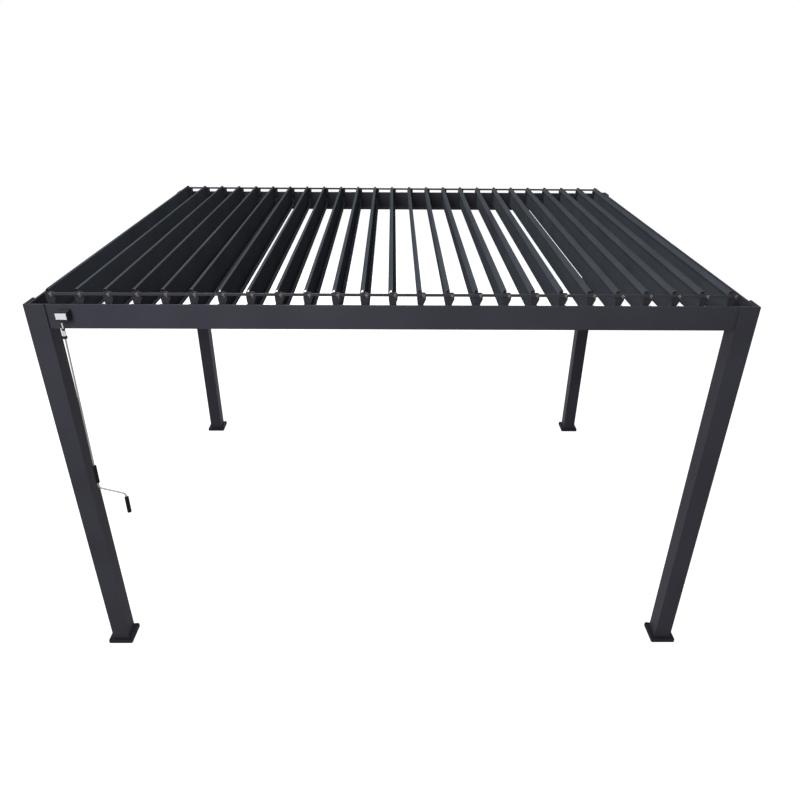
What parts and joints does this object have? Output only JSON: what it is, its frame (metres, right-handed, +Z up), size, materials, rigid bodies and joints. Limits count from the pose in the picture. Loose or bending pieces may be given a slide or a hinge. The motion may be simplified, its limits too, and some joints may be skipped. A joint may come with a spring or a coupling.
{
  "type": "aluminium pergola with louvred roof",
  "caption": "Free-standing aluminium pergola: four posts, eaves beams with gutters, and a roof of pivoting louvres tied by link rods and turned by a hanging crank.",
  "frame": {"origin": "on the ground, midway between the four posts", "axes": "+X along the wide side to the right as seen from the front, +Y from front to rear, +Z up; the crank hangs at the front, which faces -Y"},
  "size_m": [3.984, 3.1839, 2.557],
  "materials": {
    "frame_coat": "satin",
    "foot_coat": "satin",
    "louvre_coat": "satin",
    "rod_coat": "satin",
    "gearbox_case": "matte",
    "gearbox_plate": "satin",
    "black_steel": "satin",
    "bright_steel": "satin",
    "bright_aluminium": "satin",
    "black_grip": "matte"
  },
  "bodies": {
    "frame": {"foot_front_left": "foot_coat", "foot_front_right": "foot_coat", "foot_rear_right": "foot_coat", "foot_rear_left": "foot_coat", "post_front_left": "frame_coat", "post_front_right": "frame_coat", "post_rear_right": "frame_coat", "post_rear_left": "frame_coat", "beam_front": "frame_coat", "beam_rear": "frame_coat", "beam_left": "frame_coat", "beam_right": "frame_coat", "gearbox_housing": "gearbox_case", "gearbox_plate": "gearbox_plate", "drive_shaft": "black_steel"},
    "louvre_01": {"louvre_01": "louvre_coat"},
    "louvre_02": {"louvre_02": "louvre_coat"},
    "louvre_03": {"louvre_03": "louvre_coat"},
    "louvre_04": {"louvre_04": "louvre_coat"},
    "louvre_05": {"louvre_05": "louvre_coat"},
    "louvre_06": {"louvre_06": "louvre_coat"},
    "louvre_07": {"louvre_07": "louvre_coat"},
    "louvre_08": {"louvre_08": "louvre_coat"},
    "louvre_09": {"louvre_09": "louvre_coat"},
    "louvre_10": {"louvre_10": "louvre_coat"},
    "louvre_11": {"louvre_11": "louvre_coat"},
    "louvre_12": {"louvre_12": "louvre_coat"},
    "louvre_13": {"louvre_13": "louvre_coat"},
    "louvre_14": {"louvre_14": "louvre_coat"},
    "louvre_15": {"louvre_15": "louvre_coat"},
    "louvre_16": {"louvre_16": "louvre_coat"},
    "louvre_17": {"louvre_17": "louvre_coat"},
    "louvre_18": {"louvre_18": "louvre_coat"},
    "louvre_19": {"louvre_19": "louvre_coat"},
    "louvre_20": {"louvre_20": "louvre_coat"},
    "louvre_21": {"louvre_21": "louvre_coat"},
    "louvre_22": {"louvre_22": "louvre_coat"},
    "louvre_23": {"louvre_23": "louvre_coat"},
    "louvre_24": {"louvre_24": "louvre_coat"},
    "louvre_25": {"louvre_25": "louvre_coat"},
    "link_front": {"link_rod_front": "rod_coat"},
    "link_rear": {"link_rod_rear": "rod_coat"},
    "crank_swivel": {"crank_joint": "bright_steel"},
    "crank": {"crank_rod": "bright_aluminium", "crank_sleeve": "black_grip", "crank_grip": "black_grip"}
  },
  "joints": [
    {"name": "louvre_13_tilt", "type": "hinge", "parent": "frame", "child": "louvre_13", "pos_m": [-0.0095, 0, 2.477], "axis": [0, -1, 0], "range_deg": [0, 71]},
    {"name": "louvre_01_tilt", "type": "hinge", "parent": "frame", "child": "louvre_01", "pos_m": [-1.855, 0, 2.477], "axis": [0, -1, 0], "range_deg": [0, 71]},
    {"name": "louvre_02_tilt", "type": "hinge", "parent": "frame", "child": "louvre_02", "pos_m": [-1.70121, 0, 2.477], "axis": [0, -1, 0], "range_deg": [0, 71]},
    {"name": "louvre_03_tilt", "type": "hinge", "parent": "frame", "child": "louvre_03", "pos_m": [-1.54742, 0, 2.477], "axis": [0, -1, 0], "range_deg": [0, 71]},
    {"name": "louvre_04_tilt", "type": "hinge", "parent": "frame", "child": "louvre_04", "pos_m": [-1.39362, 0, 2.477], "axis": [0, -1, 0], "range_deg": [0, 71]},
    {"name": "louvre_05_tilt", "type": "hinge", "parent": "frame", "child": "louvre_05", "pos_m": [-1.23983, 0, 2.477], "axis": [0, -1, 0], "range_deg": [0, 71]},
    {"name": "louvre_06_tilt", "type": "hinge", "parent": "frame", "child": "louvre_06", "pos_m": [-1.08604, 0, 2.477], "axis": [0, -1, 0], "range_deg": [0, 71]},
    {"name": "louvre_07_tilt", "type": "hinge", "parent": "frame", "child": "louvre_07", "pos_m": [-0.93225, 0, 2.477], "axis": [0, -1, 0], "range_deg": [0, 71]},
    {"name": "louvre_08_tilt", "type": "hinge", "parent": "frame", "child": "louvre_08", "pos_m": [-0.77846, 0, 2.477], "axis": [0, -1, 0], "range_deg": [0, 71]},
    {"name": "louvre_09_tilt", "type": "hinge", "parent": "frame", "child": "louvre_09", "pos_m": [-0.62467, 0, 2.477], "axis": [0, -1, 0], "range_deg": [0, 71]},
    {"name": "louvre_10_tilt", "type": "hinge", "parent": "frame", "child": "louvre_10", "pos_m": [-0.47087, 0, 2.477], "axis": [0, -1, 0], "range_deg": [0, 71]},
    {"name": "louvre_11_tilt", "type": "hinge", "parent": "frame", "child": "louvre_11", "pos_m": [-0.31708, 0, 2.477], "axis": [0, -1, 0], "range_deg": [0, 71]},
    {"name": "louvre_12_tilt", "type": "hinge", "parent": "frame", "child": "louvre_12", "pos_m": [-0.16329, 0, 2.477], "axis": [0, -1, 0], "range_deg": [0, 71]},
    {"name": "louvre_14_tilt", "type": "hinge", "parent": "frame", "child": "louvre_14", "pos_m": [0.14429, 0, 2.477], "axis": [0, -1, 0], "range_deg": [0, 71]},
    {"name": "louvre_15_tilt", "type": "hinge", "parent": "frame", "child": "louvre_15", "pos_m": [0.29808, 0, 2.477], "axis": [0, -1, 0], "range_deg": [0, 71]},
    {"name": "louvre_16_tilt", "type": "hinge", "parent": "frame", "child": "louvre_16", "pos_m": [0.45188, 0, 2.477], "axis": [0, -1, 0], "range_deg": [0, 71]},
    {"name": "louvre_17_tilt", "type": "hinge", "parent": "frame", "child": "louvre_17", "pos_m": [0.60567, 0, 2.477], "axis": [0, -1, 0], "range_deg": [0, 71]},
    {"name": "louvre_18_tilt", "type": "hinge", "parent": "frame", "child": "louvre_18", "pos_m": [0.75946, 0, 2.477], "axis": [0, -1, 0], "range_deg": [0, 71]},
    {"name": "louvre_19_tilt", "type": "hinge", "parent": "frame", "child": "louvre_19", "pos_m": [0.91325, 0, 2.477], "axis": [0, -1, 0], "range_deg": [0, 71]},
    {"name": "louvre_20_tilt", "type": "hinge", "parent": "frame", "child": "louvre_20", "pos_m": [1.06704, 0, 2.477], "axis": [0, -1, 0], "range_deg": [0, 71]},
    {"name": "louvre_21_tilt", "type": "hinge", "parent": "frame", "child": "louvre_21", "pos_m": [1.22083, 0, 2.477], "axis": [0, -1, 0], "range_deg": [0, 71]},
    {"name": "louvre_22_tilt", "type": "hinge", "parent": "frame", "child": "louvre_22", "pos_m": [1.37462, 0, 2.477], "axis": [0, -1, 0], "range_deg": [0, 71]},
    {"name": "louvre_23_tilt", "type": "hinge", "parent": "frame", "child": "louvre_23", "pos_m": [1.52842, 0, 2.477], "axis": [0, -1, 0], "range_deg": [0, 71]},
    {"name": "louvre_24_tilt", "type": "hinge", "parent": "frame", "child": "louvre_24", "pos_m": [1.68221, 0, 2.477], "axis": [0, -1, 0], "range_deg": [0, 71]},
    {"name": "louvre_25_tilt", "type": "hinge", "parent": "frame", "child": "louvre_25", "pos_m": [1.836, 0, 2.477], "axis": [0, -1, 0], "range_deg": [0, 71]},
    {"name": "link_front_swing", "type": "hinge", "parent": "louvre_13", "child": "link_front", "pos_m": [0.0045, 0, 2.535], "axis": [0, -1, 0], "range_deg": [-71, 0]},
    {"name": "link_rear_swing", "type": "hinge", "parent": "louvre_13", "child": "link_rear", "pos_m": [0.0045, 0, 2.535], "axis": [0, -1, 0], "range_deg": [-71, 0]},
    {"name": "crank_swing", "type": "hinge", "parent": "frame", "child": "crank_swivel", "pos_m": [-1.762, -1.54, 2.3544], "axis": [-0.9996, -0.0026, -0.0278], "range_deg": [-5.4, 35]},
    {"name": "crank_spin", "type": "hinge", "parent": "crank_swivel", "child": "crank", "pos_m": [-1.762, -1.54, 2.3544], "axis": [0.0279, -0.0941, -0.9952], "range_deg": [0, 1420]}
  ],
  "couplings": [
    {"joint": "louvre_01_tilt", "follows": "louvre_13_tilt", "ratio": 1},
    {"joint": "louvre_02_tilt", "follows": "louvre_13_tilt", "ratio": 1},
    {"joint": "louvre_03_tilt", "follows": "louvre_13_tilt", "ratio": 1},
    {"joint": "louvre_04_tilt", "follows": "louvre_13_tilt", "ratio": 1},
    {"joint": "louvre_05_tilt", "follows": "louvre_13_tilt", "ratio": 1},
    {"joint": "louvre_06_tilt", "follows": "louvre_13_tilt", "ratio": 1},
    {"joint": "louvre_07_tilt", "follows": "louvre_13_tilt", "ratio": 1},
    {"joint": "louvre_08_tilt", "follows": "louvre_13_tilt", "ratio": 1},
    {"joint": "louvre_09_tilt", "follows": "louvre_13_tilt", "ratio": 1},
    {"joint": "louvre_10_tilt", "follows": "louvre_13_tilt", "ratio": 1},
    {"joint": "louvre_11_tilt", "follows": "louvre_13_tilt", "ratio": 1},
    {"joint": "louvre_12_tilt", "follows": "louvre_13_tilt", "ratio": 1},
    {"joint": "louvre_14_tilt", "follows": "louvre_13_tilt", "ratio": 1},
    {"joint": "louvre_15_tilt", "follows": "louvre_13_tilt", "ratio": 1},
    {"joint": "louvre_16_tilt", "follows": "louvre_13_tilt", "ratio": 1},
    {"joint": "louvre_17_tilt", "follows": "louvre_13_tilt", "ratio": 1},
    {"joint": "louvre_18_tilt", "follows": "louvre_13_tilt", "ratio": 1},
    {"joint": "louvre_19_tilt", "follows": "louvre_13_tilt", "ratio": 1},
    {"joint": "louvre_20_tilt", "follows": "louvre_13_tilt", "ratio": 1},
    {"joint": "louvre_21_tilt", "follows": "louvre_13_tilt", "ratio": 1},
    {"joint": "louvre_22_tilt", "follows": "louvre_13_tilt", "ratio": 1},
    {"joint": "louvre_23_tilt", "follows": "louvre_13_tilt", "ratio": 1},
    {"joint": "louvre_24_tilt", "follows": "louvre_13_tilt", "ratio": 1},
    {"joint": "louvre_25_tilt", "follows": "louvre_13_tilt", "ratio": 1},
    {"joint": "link_front_swing", "follows": "louvre_13_tilt", "ratio": -1},
    {"joint": "link_rear_swing", "follows": "louvre_13_tilt", "ratio": -1},
    {"joint": "crank_spin", "follows": "louvre_13_tilt", "ratio": 20}
  ]
}
